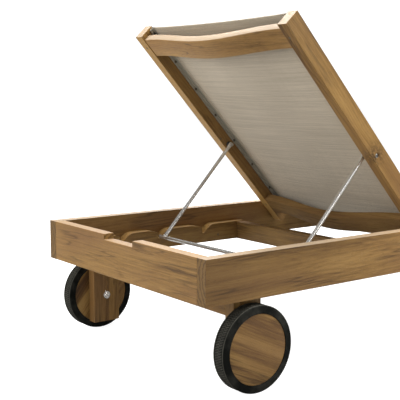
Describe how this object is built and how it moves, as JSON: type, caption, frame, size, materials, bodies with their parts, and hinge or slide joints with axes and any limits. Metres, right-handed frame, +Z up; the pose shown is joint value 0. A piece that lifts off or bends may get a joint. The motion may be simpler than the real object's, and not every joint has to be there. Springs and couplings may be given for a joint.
{
  "type": "reclining sun lounger",
  "caption": "Teak sun lounger with woven slings, a backrest held by a prop hoop in ratchet notches, and wheels at the head end.",
  "frame": {"origin": "on the floor, under the middle of the lounger's length and width", "axes": "+X to the right of someone lying on it, +Y to the foot end, +Z up"},
  "size_m": [0.696, 2, 0.8169],
  "materials": {
    "teak": "oiled teak, satin, straight grain",
    "teak_pale": "paler teak, satin, straight grain",
    "steel": "polished stainless steel",
    "aluminium": "matt anodised",
    "rubber": "matt black rubber",
    "black_nylon": "matt nylon",
    "sling_cloth": "coated open mesh weave, warm grey beige"
  },
  "bodies": {
    "base": {"side_rail_right": "teak", "ratchet_rail_right": "teak_pale", "wheel_leg_right": "teak", "foot_leg_right": "teak", "leg_glide_right": "black_nylon", "leg_bolt_right_upper": "steel", "leg_bolt_right_lower": "steel", "seat_sling_rail_right": "aluminium", "seat_edge_cord_right": "black_nylon", "axle_bolt_right": "steel", "axle_washer_right": "steel", "hinge_bolt_right": "steel", "hinge_spacer_right": "black_nylon", "side_rail_left": "teak", "ratchet_rail_left": "teak_pale", "wheel_leg_left": "teak", "foot_leg_left": "teak", "leg_glide_left": "black_nylon", "leg_bolt_left_upper": "steel", "leg_bolt_left_lower": "steel", "seat_sling_rail_left": "aluminium", "seat_edge_cord_left": "black_nylon", "axle_bolt_left": "steel", "axle_washer_left": "steel", "hinge_bolt_left": "steel", "hinge_spacer_left": "black_nylon", "head_board": "teak", "foot_board": "teak", "ratchet_cross_rail": "teak", "axle_board": "teak", "seat_rail_head": "teak", "seat_rail_middle": "teak", "seat_rail_foot": "teak", "seat_sling": "sling_cloth"},
    "backrest": {"back_rail_right": "teak", "back_sling_rail_right": "aluminium", "back_edge_cord_right": "black_nylon", "prop_pivot_bolt_right": "steel", "prop_pivot_spacer_right": "black_nylon", "back_rail_left": "teak", "back_sling_rail_left": "aluminium", "back_edge_cord_left": "black_nylon", "prop_pivot_bolt_left": "steel", "prop_pivot_spacer_left": "black_nylon", "back_top_rail": "teak_pale", "back_bottom_rail": "teak", "back_sling": "sling_cloth"},
    "prop": {"prop_arm_right": "steel", "prop_arm_left": "steel", "prop_bar": "steel"},
    "wheel_right": {"wheel_disc_right": "teak", "tyre_right": "rubber", "wheel_bush_right": "black_nylon"},
    "wheel_left": {"wheel_disc_left": "teak", "tyre_left": "rubber", "wheel_bush_left": "black_nylon"}
  },
  "joints": [
    {"name": "backrest_tilt", "type": "hinge", "parent": "base", "child": "backrest", "pos_m": [0, -0.25, 0.2825], "axis": [-1, 0, 0], "range_deg": [-46.8, 18.6]},
    {"name": "prop_swing", "type": "hinge", "parent": "backrest", "child": "prop", "pos_m": [0, -0.45435, 0.48842], "axis": [1, 0, 0], "range_deg": [-87, 35]},
    {"name": "wheel_right_spin", "type": "hinge", "parent": "base", "child": "wheel_right", "pos_m": [0.33, -0.865, 0.096], "axis": [1, 0, 0], "continuous": true},
    {"name": "wheel_left_spin", "type": "hinge", "parent": "base", "child": "wheel_left", "pos_m": [-0.33, -0.865, 0.096], "axis": [1, 0, 0], "continuous": true}
  ],
  "couplings": [
    {"joint": "prop_swing", "follows": "backrest_tilt", "ratio": 1.85}
  ]
}
